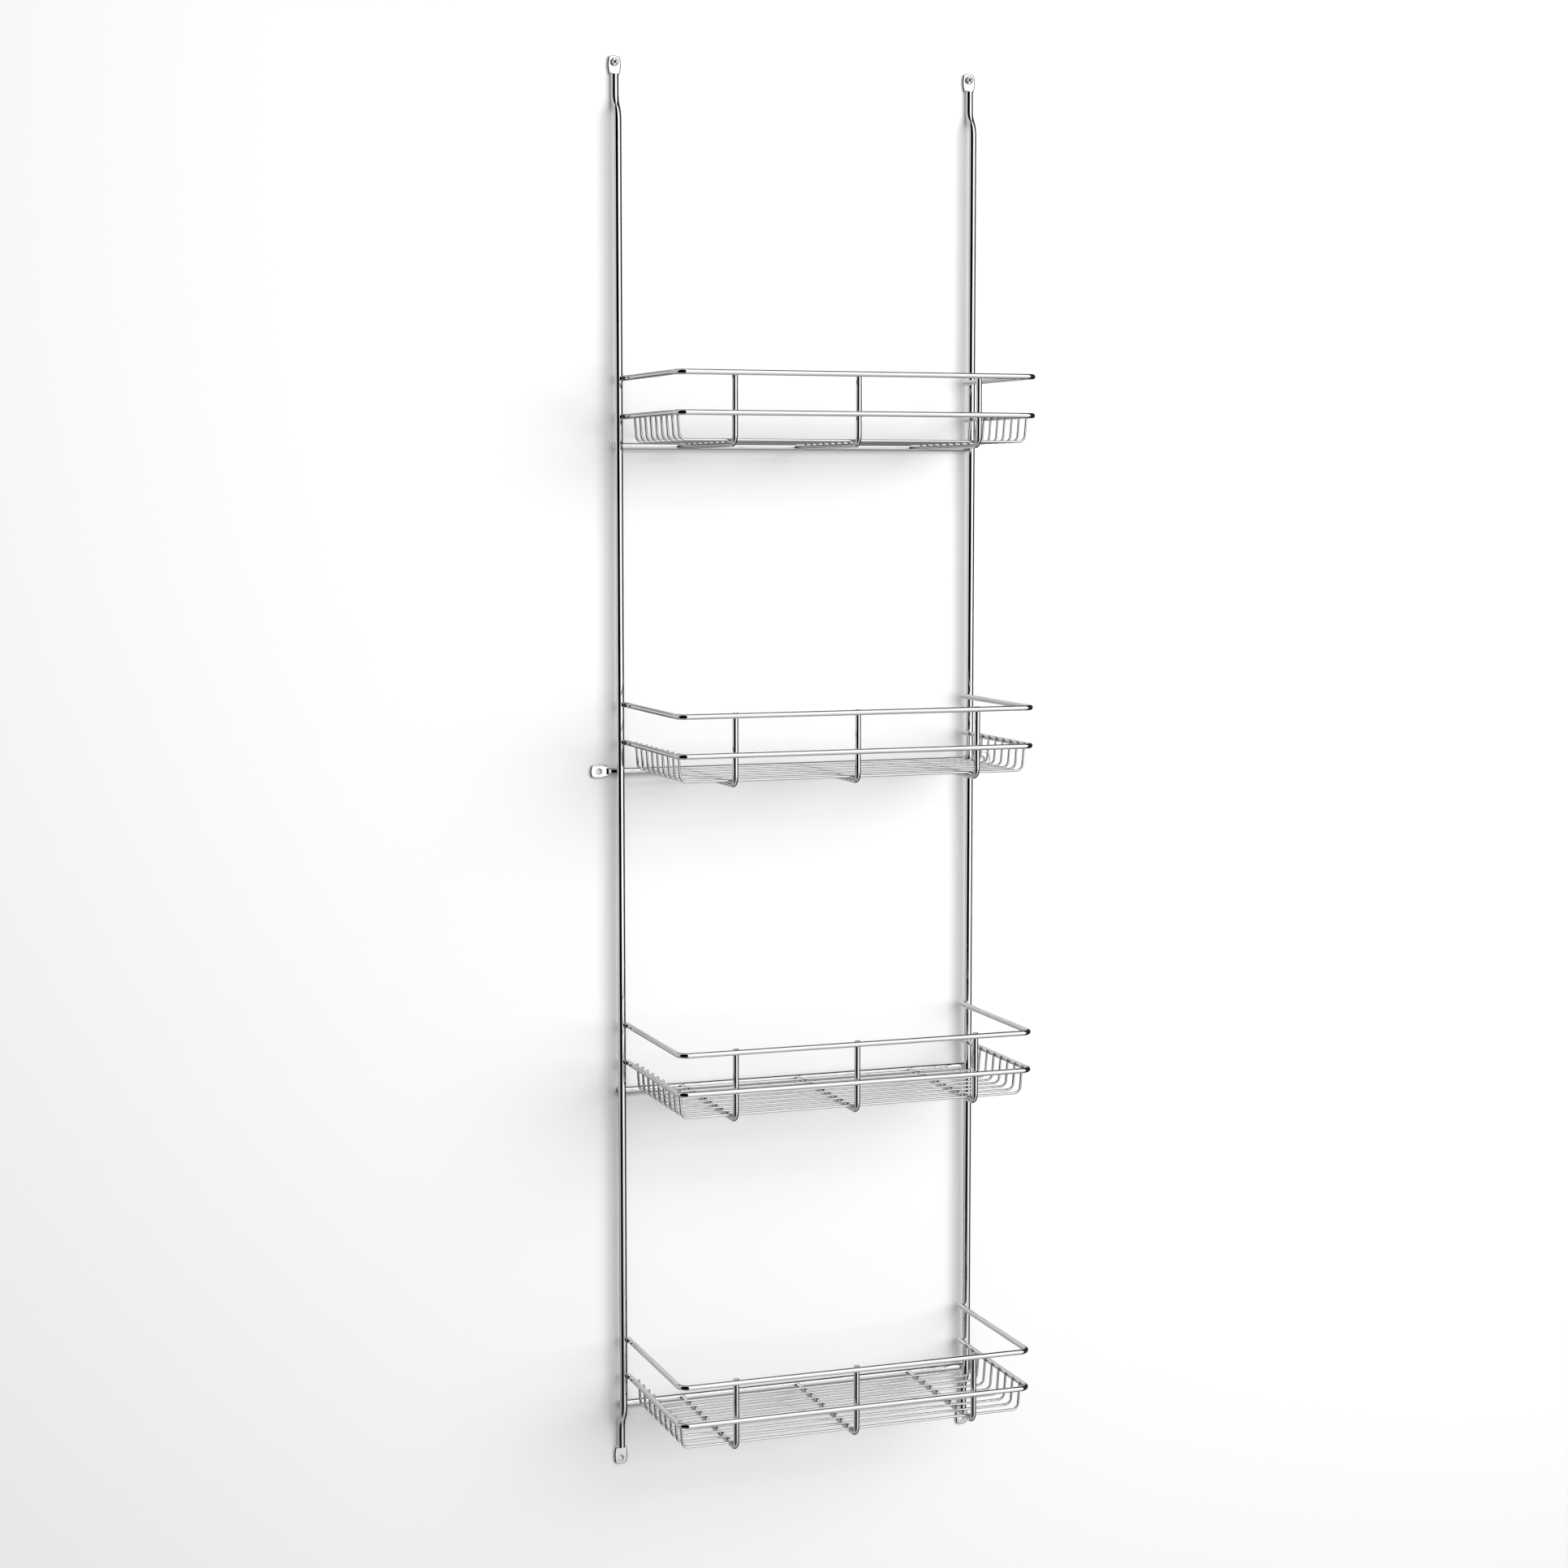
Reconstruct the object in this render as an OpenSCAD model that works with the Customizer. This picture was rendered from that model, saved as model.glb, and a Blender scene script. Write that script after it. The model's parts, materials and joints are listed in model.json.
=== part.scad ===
// Over-the-toilet wall rack: two joggled uprights carry four open wire baskets.
// Millimetres. +Z is up, -Y is the front, Y = 0 is the wall surface.
// Z = 0 and X = 0 are midway between the two bottom screw holes.

/* [Uprights] */
// Diameter of each upright rod
upright_d = 7; // [6.4:0.2:7.6]
// Distance between the two upright centre lines
upright_spacing = 351; // [311:10:391]
// Distance from the bottom screw holes to the top screw holes
hole_span = 1302; // [1302:10:1342]
// How far the pressed ends are set back towards the wall
joggle_offset = 8.5; // [8.2:0.1:9]
// Distance from each upright's screw holes to the start of the joggle beside them
joggle_from_hole = 28.5; // [26:0.5:28.5]

/* [Pressed screw lugs] */
// Thickness of the pressed ends
lug_t = 2.2; // [1.8:0.1:2.6]
// Widest part of a pressed end
lug_w = 13; // [12:0.5:14]
// Length of a pressed end from its shoulder to its outer edge
lug_len = 17; // [16:0.5:18]
// Diameter of the screw holes
hole_d = 5.5; // [4.5:0.25:6]
// Distance from an upright's screw hole to the outer edge of its lug
lug_edge = 6; // [5.5:0.25:6.5]
// Distance from an upright's centre line to the side screw hole beside it
side_hole_out = 18; // [18:0.5:22]

/* [Baskets] */
// Height of the lowest back bar above the bottom screw holes
lowest_bar = 54; // [54:1:74]
// Height from one basket to the next
basket_pitch = 300; // [280:5:300]
// Distance from the upright centre line to the front rail centre line
basket_depth = 159.6; // [139.6:5:179.6]
// Height of the lower rail above the back bar
lower_rail_h = 27; // [24:1:32]
// Height of the upper rail above the back bar
upper_rail_h = 62; // [50:1:75]
// Diameter of the two rails
rail_d = 4.8; // [4.2:0.2:5.2]
// Centre line radius of the rails' front corners
rail_corner_r = 9; // [7:0.5:14]
// Diameter of the back bar
bar_d = 5.8; // [5.2:0.2:6.2]

/* [Basket floor] */
// Diameter of the supports under the floor wires
support_d = 5.2; // [4.6:0.2:5.6]
// Distance from one support to the next
support_spacing = 116; // [90:2:120]
// Centre line radius where a support turns up at the front
support_bend_r = 8; // [6:0.5:10]
// Diameter of the floor wires
wire_d = 2.3; // [2:0.1:2.8]
// Distance from the upright centre line to the rearmost floor wire
first_wire = 19; // [14:1:20]
// Centre line radius of the floor wires' corners
wire_bend_r = 6; // [4:0.5:8]

/* [Wall screws] */
// Diameter of the screw heads
screw_head_d = 7.6; // [7.2:0.1:8]
// Diameter of the screw shanks
screw_shank_d = 3.9; // [3.5:0.1:4.2]
// Length of a screw under its head
screw_len = 30; // [25:5:40]

/* [Hidden] */
BASKETS = 4;
WIRES = 9;
SIDES = ["left", "right"];

// Node names; basket 1 is the top one and floor wire 1 is the rearmost
function basket(k) = str("basket_", k);
function wire_name(k, i) = str(basket(k), "_floor_wire_", i);

$fn = 48;
cut = 1;
weld_sink = 0.1;

upright_r = upright_d / 2;
rail_r = rail_d / 2;
bar_r = bar_d / 2;
support_r = support_d / 2;
wire_r = wire_d / 2;
half_spacing = upright_spacing / 2;
upright_y = -(upright_r + joggle_offset);
bar_y = upright_y + upright_r + bar_r - weld_sink;
rail_x = half_spacing - upright_r - rail_r + weld_sink;
front_y = upright_y - basket_depth;
leg_back_y = upright_y + upright_r;
support_y = front_y + rail_r + support_r - weld_sink;
support_rear_y = bar_y - bar_r + weld_sink;
// The frontmost floor wire lies where the supports start to turn up
wire_pitch = tidy((upright_y - first_wire - support_y - support_bend_r) / (WIRES - 1));

// Outline of a pressed end: bowed sides, a bowed outer edge and rounded corners
side_bow = 1.4;
end_bow = 1.2;
corner_r = 2.2;
shoulder_slope = 2;

// Set-back bends slope 3 in 5, with a short straight between two equal bends
set_back_a = atan2(3, 4);
upright_straight = 0.5;
bar_straight = 1;
bar_neck_x = half_spacing + 0.5;
bar_offset = -bar_y - bar_r;
bar_neck_run = set_back_run(bar_offset, bar_straight);
side_lug_x = max(half_spacing + side_hole_out - lug_len / 2, bar_neck_x + bar_neck_run + 0.5);

// Outward lean of the floor wires' upturned ends
wire_flare = atan2(237, 3116);

// Rod end chamfer; the upturned ends are cut level with the tops of the rails
end_chamfer = 0.35;

function bar_z(k) = lowest_bar + (4 - k) * basket_pitch;
function wire_y(i) = upright_y - first_wire - (i - 1) * wire_pitch;
function set_back_r(offset, straight) = 2.5 * offset - 1.5 * straight;
function set_back_run(offset, straight) = 1.2 * set_back_r(offset, straight) + 0.8 * straight;
// Lengths and positions that meet are kept to a hundredth of a millimetre
function tidy(x) = round(x * 100) / 100;
function bow_radius(half, bow) = (half * half + bow * bow) / (2 * bow);

// A straight rod from the origin along +Y, optionally chamfered at its far end
module rod(length, r, chamfer = 0) {
    rotate([-90, 0, 0]) {
        cylinder(h = length - chamfer, r = r);
        if (chamfer > 0)
            translate([0, 0, length - chamfer])
                cylinder(h = chamfer, r1 = r, r2 = r - chamfer);
    }
}

// A quarter bend in the XY plane about the origin, starting at angle a0
module quarter_bend(bend_r, r, a0) {
    rotate([0, 0, a0])
        rotate_extrude(angle = 90)
            translate([bend_r, 0])
                circle(r = r);
}

// A bend under a quarter turn, starting on the X axis; children start at its far end
module bend_then(bend_r, r, a) {
    block = 2 * (bend_r + r);
    difference() {
        quarter_bend(bend_r, r, 0);
        rotate([0, 0, a])
            translate([0, 0, -block / 2])
                cube(block);
    }
    rotate([0, 0, a])
        translate([bend_r, 0, 0])
            children();
}

// A rod that runs along +Y and shifts sideways by offset along +X
module set_back(offset, straight, r) {
    bend_r = set_back_r(offset, straight);
    translate([bend_r, 0, 0])
        mirror([1, 0, 0])
            bend_then(bend_r, r, set_back_a) {
                rod(straight, r);
            }
    translate([offset - bend_r, set_back_run(offset, straight), 0])
        mirror([0, 1, 0])
            bend_then(bend_r, r, set_back_a);
}

// One corner of the lug outline, between the bowed side and the bowed end
module lug_corner(side_c, side_r, end_c, end_r) {
    a = side_r - corner_r;
    b = end_r - corner_r;
    d = norm(end_c - side_c);
    u = (end_c - side_c) / d;
    along = (a * a - b * b + d * d) / (2 * d);
    h = sqrt(a * a - along * along);
    c = side_c + along * u + h * [-u[1], u[0]];
    t_side = side_c + (c - side_c) * side_r / a;
    t_end = end_c + (c - end_c) * end_r / b;
    outer = c + (t_side - c) + (t_end - c);
    difference() {
        polygon([c, t_side + (t_side - c) * 0.01, outer + (outer - c), t_end + (t_end - c) * 0.01]);
        translate(c)
            circle(r = corner_r);
    }
}

// Lug outline: shoulder on the X axis, outer edge towards +Y
module lug_outline() {
    side_r = bow_radius(lug_len / 2, side_bow);
    end_half = lug_w / 2 - side_bow;
    end_r = bow_radius(end_half, end_bow);
    side_c = [lug_w / 2 - side_r, lug_len / 2];
    end_c = [0, lug_len - end_r];
    difference() {
        intersection() {
            translate(side_c)
                circle(r = side_r, $fn = 180);
            translate([-side_c[0], side_c[1]])
                circle(r = side_r, $fn = 180);
            translate(end_c)
                circle(r = end_r, $fn = 120);
            translate([-lug_w / 2, 0])
                square([lug_w, lug_len]);
        }
        for (m = [0, 1])
            mirror([m, 0])
                lug_corner(side_c, side_r, end_c, end_r);
    }
}

// Pressed end of a rod, in a frame where the rod comes from -Y and the wall is at Z = 0
module pressed_end(r, hole_from_edge) {
    difference() {
        linear_extrude(height = lug_t)
            lug_outline();
        translate([0, lug_len - hole_from_edge, -cut])
            cylinder(h = lug_t + 2 * cut, d = hole_d);
    }
    // Sloped shoulder between the round rod and the flat
    intersection() {
        translate([0, 0, r])
            rod(shoulder_slope, r);
        rotate([90, 0, 90])
            linear_extrude(height = 2 * r, center = true)
                polygon([[0, lug_t / 2], [shoulder_slope, lug_t / 2], [shoulder_slope, lug_t], [0, 2 * r]]);
    }
}

// Upright profile drawn up +Y with the wall at X = 0 and the front towards +X
module upright_rod() {
    shoulder = lug_len - lug_edge;
    low = joggle_from_hole;
    high = hole_span - joggle_from_hole;
    run = set_back_run(joggle_offset, upright_straight);
    translate([upright_r, shoulder, 0])
        rod(low - shoulder, upright_r);
    translate([upright_r, low, 0])
        set_back(joggle_offset, upright_straight, upright_r);
    translate([-upright_y, low + run, 0])
        rod(high - low - 2 * run, upright_r);
    translate([upright_r, high, 0])
        mirror([0, 1, 0])
            set_back(joggle_offset, upright_straight, upright_r);
    translate([upright_r, high, 0])
        rod(hole_span - shoulder - high, upright_r);
}

module upright(side) {
    color("silver")
        translate([side * half_spacing, 0, 0]) {
            rotate([90, 0, -90])
                upright_rod();
            for (m = [0, 1])
                translate([0, 0, m * hole_span])
                    mirror([0, 0, 1 - m])
                        translate([0, 0, lug_edge - lug_len])
                            rotate([90, 0, 0])
                                pressed_end(upright_r, lug_edge);
        }
}

// Back bar; the one at mid height runs past the uprights to two more screw lugs
module back_bar(k) {
    color("silver")
        translate([0, 0, bar_z(k)])
            if (k == 2) {
                side_lug_bar();
            } else {
                translate([-half_spacing - upright_r, bar_y, 0])
                    rotate([0, 0, -90])
                        rod(2 * (half_spacing + upright_r), bar_r);
            }
}

module side_lug_bar() {
    translate([-bar_neck_x, bar_y, 0])
        rotate([0, 0, -90])
            rod(2 * bar_neck_x, bar_r);
    for (m = [0, 1])
        mirror([m, 0, 0]) {
            translate([bar_neck_x, bar_y, 0])
                rotate([0, 0, -90])
                    mirror([1, 0, 0])
                        set_back(bar_offset, bar_straight, bar_r);
            translate([bar_neck_x + bar_neck_run, -bar_r, 0])
                rotate([0, 0, -90])
                    rod(side_lug_x - bar_neck_x - bar_neck_run, bar_r);
            translate([side_lug_x, 0, 0])
                rotate([90, 90, 0])
                    pressed_end(bar_r, lug_len / 2);
        }
}

// U-shaped rail: two side legs and a front run with rounded corners
module rail(z) {
    leg = leg_back_y - front_y - rail_corner_r;
    front = 2 * (rail_x - rail_corner_r);
    color("gainsboro")
        translate([0, 0, z]) {
            for (m = [0, 1])
                mirror([m, 0, 0]) {
                    translate([rail_x, leg_back_y - leg, 0])
                        rod(leg, rail_r, end_chamfer);
                    translate([rail_x - rail_corner_r, front_y + rail_corner_r, 0])
                        quarter_bend(rail_corner_r, rail_r, -90);
                }
            translate([-front / 2, front_y, 0])
                rotate([0, 0, -90])
                    rod(front, rail_r);
        }
}

// Support: butts the back bar, runs forward under the floor and turns up at the front
module support() {
    run = support_rear_y - support_y - support_bend_r;
    rise = upper_rail_h + rail_r - support_bend_r;
    rotate([90, 0, -90])
        translate([-support_rear_y, 0, 0]) {
            rotate([0, 0, -90])
                rod(run, support_r);
            translate([run, support_bend_r, 0])
                quarter_bend(support_bend_r, support_r, -90);
            translate([run + support_bend_r, support_bend_r, 0])
                rod(rise, support_r, end_chamfer);
        }
}

module supports(k) {
    color("gainsboro")
        for (s = [-1, 0, 1])
            translate([s * support_spacing, 0, bar_z(k)])
                support();
}

// Floor wire: lies on the supports, and both ends turn up inside the lower rail
module floor_wire(k, i) {
    z0 = support_r + wire_r - weld_sink;
    bend_top = z0 + wire_bend_r * (1 - sin(wire_flare));
    contact_x = rail_x - rail_r - wire_r / cos(wire_flare) + weld_sink;
    lean = tan(wire_flare) * (lower_rail_h - bend_top);
    half_run = tidy(contact_x - wire_bend_r * cos(wire_flare) - lean);
    rise = tidy((lower_rail_h + rail_r - bend_top) / cos(wire_flare));
    color("whitesmoke")
        translate([0, wire_y(i), bar_z(k)])
            rotate([90, 0, 0]) {
                translate([-half_run, z0, 0])
                    rotate([0, 0, -90])
                        rod(2 * half_run, wire_r);
                for (m = [0, 1])
                    mirror([m, 0, 0])
                        translate([half_run, z0 + wire_bend_r, 0])
                            rotate([0, 0, -90])
                                bend_then(wire_bend_r, wire_r, 90 - wire_flare)
                                    rod(rise, wire_r, end_chamfer);
            }
}

// Pan head screw: head on the lug face, thicker smooth neck in the lug, shank in the wall
module wall_screw() {
    head_r = screw_head_d / 2;
    head_h = 2.4;
    edge_r = 1.5;
    shank_r = screw_shank_d / 2;
    neck_r = shank_r + 0.25;
    point = 5;
    recess_r = 2.3;
    recess_depth = 1.6;
    wing = 0.9;
    difference() {
        rotate_extrude()
            union() {
                square([head_r - edge_r, head_h]);
                square([head_r, head_h - edge_r]);
                intersection() {
                    translate([head_r - edge_r, head_h - edge_r])
                        circle(r = edge_r);
                    square([head_r, head_h]);
                }
            }
        intersection() {
            translate([0, 0, head_h - recess_depth])
                cylinder(h = recess_depth + cut, r1 = 0.9, r2 = recess_r + cut * 0.9);
            for (a = [0, 90])
                rotate([0, 0, a])
                    translate([-2 * recess_r, -wing / 2, 0])
                        cube([4 * recess_r, wing, head_h + cut]);
        }
    }
    translate([0, 0, -lug_t])
        cylinder(h = lug_t, r = neck_r);
    translate([0, 0, point - screw_len])
        cylinder(h = screw_len - point - lug_t, r = shank_r);
    translate([0, 0, -screw_len])
        cylinder(h = point, r1 = 0.3, r2 = shank_r);
}

module wall_screws() {
    color("lightgrey")
        for (s = [-1, 1])
            translate([s * half_spacing, -lug_t, hole_span])
                rotate([90, 40 * s, 0])
                    wall_screw();
}

for (s = [0, 1])
    upright(2 * s - 1);
wall_screws();
for (k = [1:BASKETS]) {
    back_bar(k);
    rail(bar_z(k) + upper_rail_h);
    rail(bar_z(k) + lower_rail_h);
    supports(k);
    for (i = [1:WIRES])
        floor_wire(k, i);
}
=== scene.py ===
"""Looks of the chromed wall rack: fine bent rod, pressed lugs, spot welds, screws and plating.

Metres, in the row frame: +Z up, -Y front, the wall surface at Y = 0.
"""

import json
import math

import bmesh
import bpy
from mathutils import Matrix, Vector, noise

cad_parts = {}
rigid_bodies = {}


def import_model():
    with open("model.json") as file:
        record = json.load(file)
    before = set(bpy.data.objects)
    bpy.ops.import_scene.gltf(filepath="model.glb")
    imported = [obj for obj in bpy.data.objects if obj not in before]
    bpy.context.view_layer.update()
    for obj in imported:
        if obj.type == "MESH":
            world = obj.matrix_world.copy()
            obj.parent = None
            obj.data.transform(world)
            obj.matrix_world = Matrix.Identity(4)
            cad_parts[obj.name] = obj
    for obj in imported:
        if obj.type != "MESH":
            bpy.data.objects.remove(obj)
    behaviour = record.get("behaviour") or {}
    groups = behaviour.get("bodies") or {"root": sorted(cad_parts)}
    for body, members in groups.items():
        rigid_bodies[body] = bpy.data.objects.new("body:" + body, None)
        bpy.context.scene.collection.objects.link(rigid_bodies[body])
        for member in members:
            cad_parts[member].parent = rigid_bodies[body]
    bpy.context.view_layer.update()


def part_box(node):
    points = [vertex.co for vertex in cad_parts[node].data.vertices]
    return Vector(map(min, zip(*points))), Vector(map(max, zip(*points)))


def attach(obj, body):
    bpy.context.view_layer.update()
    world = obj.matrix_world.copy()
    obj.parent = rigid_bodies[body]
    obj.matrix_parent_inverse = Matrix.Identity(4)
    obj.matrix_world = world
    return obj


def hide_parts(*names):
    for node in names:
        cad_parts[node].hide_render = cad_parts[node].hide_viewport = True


MM = 0.001

# ---------------------------------------------------------------- frame

for leftover in list(bpy.data.objects):
    bpy.data.objects.remove(leftover)
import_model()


def middle(node):
    low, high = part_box(node)
    return (low + high) / 2


# ---------------------------------------------------------------- driving sizes

UPRIGHT_R = 3.5 * MM
BAR_R = 2.9 * MM
RAIL_R = 2.4 * MM
SUPPORT_R = 2.6 * MM
WIRE_R = 1.15 * MM
WELD_SINK = 0.1 * MM
END_CHAMFER = 0.35 * MM

# Pressed lugs at the rods' ends
LUG_T = 2.2 * MM
LUG_W = 13 * MM
LUG_LEN = 17 * MM
LUG_SIDE_BOW = 1.4 * MM
LUG_END_BOW = 1.2 * MM
LUG_CORNER_R = 2.2 * MM
SHOULDER = 2 * MM
HOLE_R = 2.75 * MM
HOLE_CHAMFER = 0.3 * MM
HOLE_FROM_EDGE = 6 * MM
SIDE_HOLE_FROM_EDGE = LUG_LEN / 2

# The rounding of a lug's rim: how deep it is, and how far it reaches in over the front and the back
RIM_DEPTH = 1.05 * MM
RIM_FRONT = 1.7 * MM
RIM_BACK = 0.6 * MM
RIM_STEPS = 6

# Points along half a lug's shoulder, its side, its corner and half its end
SHOULDER_STEPS = 7
SIDE_STEPS = 14
CORNER_STEPS = 8
END_STEPS = 6

# Bends, as centre line radii
UPRIGHT_BEND_R = 20.5 * MM
BAR_BEND_R = 5.5 * MM
RAIL_BEND_R = 9 * MM
SUPPORT_BEND_R = 8 * MM
WIRE_BEND_R = 6 * MM
SET_BACK_TURN = math.atan2(3, 4)
WIRE_LEAN = math.atan2(237, 3116)
WIRE_CHAMFER = 0.25 * MM

# Uprights' set-back ends: distance from each lug's outer edge to where the bends start and end
JOGGLE_START = 34.5 * MM
JOGGLE_END = 59.5 * MM

# The long back bar's set-back ends: where one starts beyond the upright, and its length
NECK_GAP = 0.5 * MM
NECK_RUN = 7.4 * MM

# Spot welds' beads, as radius and half height
BAR_WELD = (2.0 * MM, 0.8 * MM)
LEG_WELD = (2.6 * MM, 0.9 * MM)
FRONT_WELD = (1.7 * MM, 0.7 * MM)
BACK_WELD = (2.2 * MM, 0.6 * MM)
WIRE_WELD = (1.6 * MM, 0.7 * MM)
TIP_WELD = (1.0 * MM, 0.45 * MM)
WIRE_WELD_SINK = 0.25 * MM
WIRE_WELD_STRETCH = 2.0
WELD_UNEVENNESS = 0.13
SEED_SPREAD = 7.31

BASKETS = range(1, 5)
WIRES = range(1, 10)
SIDES = (("left", -1), ("right", 1))

low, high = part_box("upright_right")
UPRIGHT_X = (low.x + high.x) / 2
UPRIGHT_Y = low.y + UPRIGHT_R
BOTTOM = low.z
TOP = high.z
BAR_Z = {k: middle(f"basket_{k}_back_bar").z for k in BASKETS}
RAIL_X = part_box("basket_1_upper_rail")[1].x - RAIL_R
FRONT_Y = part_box("basket_1_upper_rail")[0].y + RAIL_R
LEG_BACK_Y = UPRIGHT_Y + UPRIGHT_R


# ---------------------------------------------------------------- mesh building

def new_piece(name, mesh_data, node, materials):
    """Links a finished mesh as a smoothed piece that rides on the rack. With node None it replaces nothing."""
    mesh = bpy.data.meshes.new(name)
    mesh_data.to_mesh(mesh)
    mesh_data.free()
    piece = bpy.data.objects.new(name, mesh)
    bpy.context.scene.collection.objects.link(piece)
    mesh.shade_smooth()
    mesh.set_sharp_from_angle(angle=math.radians(35))
    for material in materials:
        mesh.materials.append(material)
    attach(piece, "root")
    if node:
        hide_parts(node)


def rounded_path(corners, bend_r, arc_step=math.radians(4)):
    """A line through the corners, with each inner corner turned into an arc of radius bend_r."""
    points = [Vector(corners[0])]
    for before, corner, after in zip(corners, corners[1:], corners[2:]):
        corner = Vector(corner)
        back = (Vector(before) - corner).normalized()
        on = (Vector(after) - corner).normalized()
        turn = math.pi - back.angle(on)
        reach = bend_r * math.tan(turn / 2)
        centre = corner + (back + on).normalized() * (bend_r / math.cos(turn / 2))
        start = corner + back * reach - centre
        axis = start.cross(corner + on * reach - centre).normalized()
        steps = max(3, round(turn / arc_step))
        for i in range(steps + 1):
            points.append(centre + Matrix.Rotation(turn * i / steps, 3, axis) @ start)
    points.append(Vector(corners[-1]))
    return points


def with_stations(points, spacing):
    """The same line with long straight stretches split up."""
    out = [points[0]]
    for a, b in zip(points, points[1:]):
        n = max(1, round((b - a).length / spacing))
        out += [a.lerp(b, i / n) for i in range(1, n + 1)]
    return out


def tube(bm, points, r, plane_normal, sides=24, chamfers=(END_CHAMFER, END_CHAMFER), spacing=0.02):
    """Sweeps a round rod along a flat line. Returns its first and last full-width rings."""
    points = with_stations(points, spacing)
    side = Vector(plane_normal).normalized()
    tangents = []
    for i, p in enumerate(points):
        before = points[max(i - 1, 0)]
        after = points[min(i + 1, len(points) - 1)]
        tangents.append(((p - before).normalized() + (after - p).normalized()).normalized())
    stations = list(zip(points, tangents, [r] * len(points)))
    if chamfers[0]:
        p, t, _ = stations[0]
        stations[0] = (p + t * chamfers[0], t, r)
        stations.insert(0, (p, t, r - chamfers[0]))
    if chamfers[1]:
        p, t, _ = stations[-1]
        stations[-1] = (p - t * chamfers[1], t, r)
        stations.append((p, t, r - chamfers[1]))
    rings = []
    for p, t, radius in stations:
        up = t.cross(side)
        turns = [2 * math.pi * i / sides for i in range(sides)]
        rings.append([bm.verts.new(p + radius * (math.cos(a) * up + math.sin(a) * side)) for a in turns])
    for a, b in zip(rings, rings[1:]):
        for i in range(sides):
            j = (i + 1) % sides
            bm.faces.new((a[i], a[j], b[j], b[i]))
    bm.faces.new(list(reversed(rings[0])))
    bm.faces.new(rings[-1])
    return rings[0], rings[-1]


def slope_end(ring, rod_axis, rod_front, face_y, shoulder):
    """Presses a rod's last ring into a slope, from its front down to the lug's face."""
    for v in ring:
        depth = (v.co.y - rod_front) / (face_y - rod_front)
        v.co -= rod_axis * shoulder * (1 - min(depth, 1.0))


def bow_radius(half, bow):
    return (half * half + bow * bow) / (2 * bow)


def lug_half_width(along):
    """Half the lug's width at a distance from its shoulder, from its bowed sides."""
    side_r = bow_radius(LUG_LEN / 2, LUG_SIDE_BOW)
    return LUG_W / 2 - side_r + math.sqrt(side_r ** 2 - (along - LUG_LEN / 2) ** 2)


def lug_outline():
    """The lug's outline from the shoulder at v = 0, as (across, along) points."""
    end_half = LUG_W / 2 - LUG_SIDE_BOW
    end_r = bow_radius(end_half, LUG_END_BOW)
    end_c = LUG_LEN - end_r
    side_r = bow_radius(LUG_LEN / 2, LUG_SIDE_BOW)
    side_c = Vector((LUG_W / 2 - side_r, LUG_LEN / 2))
    # The corner's circle touches both bows from inside, on the outer side of their centres
    end_middle = Vector((0, end_c))
    a = side_r - LUG_CORNER_R
    b = end_r - LUG_CORNER_R
    gap = end_middle - side_c
    d = gap.length
    u = gap / d
    reach = (a * a - b * b + d * d) / (2 * d)
    aside = Vector((-u.y, u.x)) * math.sqrt(a * a - reach * reach)
    corner = max(side_c + u * reach + aside, side_c + u * reach - aside, key=lambda p: p.x + p.y)
    touch_side = side_c + (corner - side_c).normalized() * side_r
    touch_end = end_middle + (corner - end_middle).normalized() * end_r
    shoulder_half = lug_half_width(0)
    half = [(shoulder_half * i / SHOULDER_STEPS, 0.0) for i in range(SHOULDER_STEPS)]
    for i in range(SIDE_STEPS):
        v = touch_side.y * i / SIDE_STEPS
        half.append((lug_half_width(v), v))
    a0 = math.atan2(touch_side.y - corner.y, touch_side.x - corner.x)
    a1 = math.atan2(touch_end.y - corner.y, touch_end.x - corner.x)
    for i in range(CORNER_STEPS):
        t = a0 + (a1 - a0) * i / CORNER_STEPS
        half.append((corner.x + LUG_CORNER_R * math.cos(t), corner.y + LUG_CORNER_R * math.sin(t)))
    for i in range(END_STEPS + 1):
        x = touch_end.x * (1 - i / END_STEPS)
        half.append((x, end_c + math.sqrt(end_r ** 2 - x * x)))
    return half + [(-x, v) for x, v in reversed(half[1:-1])]


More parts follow.
